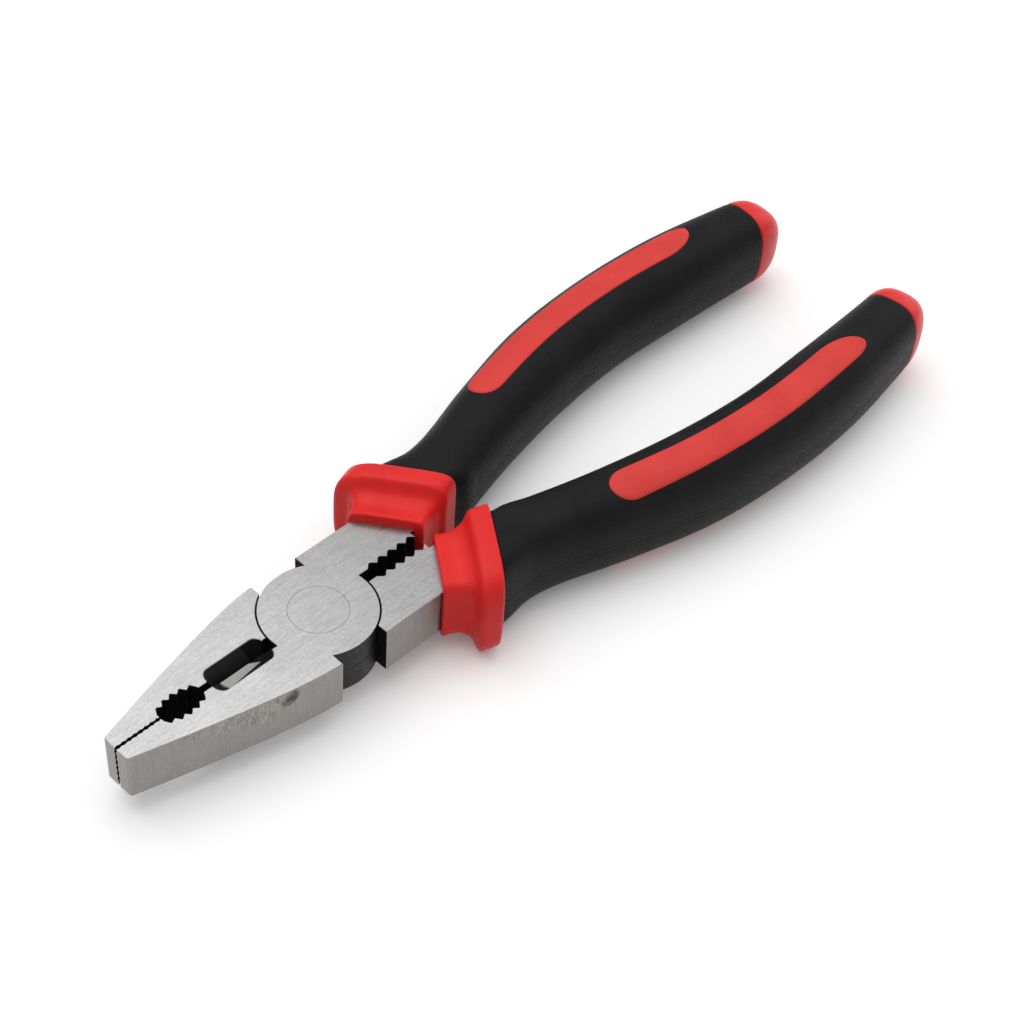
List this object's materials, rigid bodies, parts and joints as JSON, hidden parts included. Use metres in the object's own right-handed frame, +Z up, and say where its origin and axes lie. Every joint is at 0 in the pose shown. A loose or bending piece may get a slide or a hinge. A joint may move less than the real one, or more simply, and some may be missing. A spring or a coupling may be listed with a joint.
{
  "type": "combination pliers",
  "caption": "Combination pliers with flat jaws, toothed pipe grip and side cutter, crossing at a flush rivet, with flared guards and padded curved handles.",
  "frame": {"origin": "under the middle of the tool, on the surface it lies on", "axes": "+X from the jaws to the handle ends, +Y from the left handle to the right handle, +Z up, square to the flat of the head"},
  "size_m": [0.1992, 0.0638, 0.0216],
  "materials": {
    "steel": "satin ground faces, darkened in the teeth and at the lap joint",
    "red_plastic": "semi-gloss moulded",
    "black_grip": "satin soft grain",
    "red_inlay": "matte soft"
  },
  "bodies": {
    "right_half": {"right_lever": "steel", "right_inner_sleeve": "red_plastic", "right_front_guard": "red_plastic", "right_grip": "black_grip", "right_upper_inlay": "red_inlay", "right_lower_inlay": "red_inlay", "right_end_cap": "red_plastic", "pivot_rivet": "steel"},
    "left_half": {"left_lever": "steel", "left_inner_sleeve": "red_plastic", "left_front_guard": "red_plastic", "left_grip": "black_grip", "left_upper_inlay": "red_inlay", "left_lower_inlay": "red_inlay", "left_end_cap": "red_plastic"}
  },
  "joints": [
    {"name": "pivot", "type": "hinge", "parent": "right_half", "child": "left_half", "pos_m": [-0.054, 0, 0.01077], "axis": [0, 0, -1], "range_deg": [0, 44]}
  ]
}
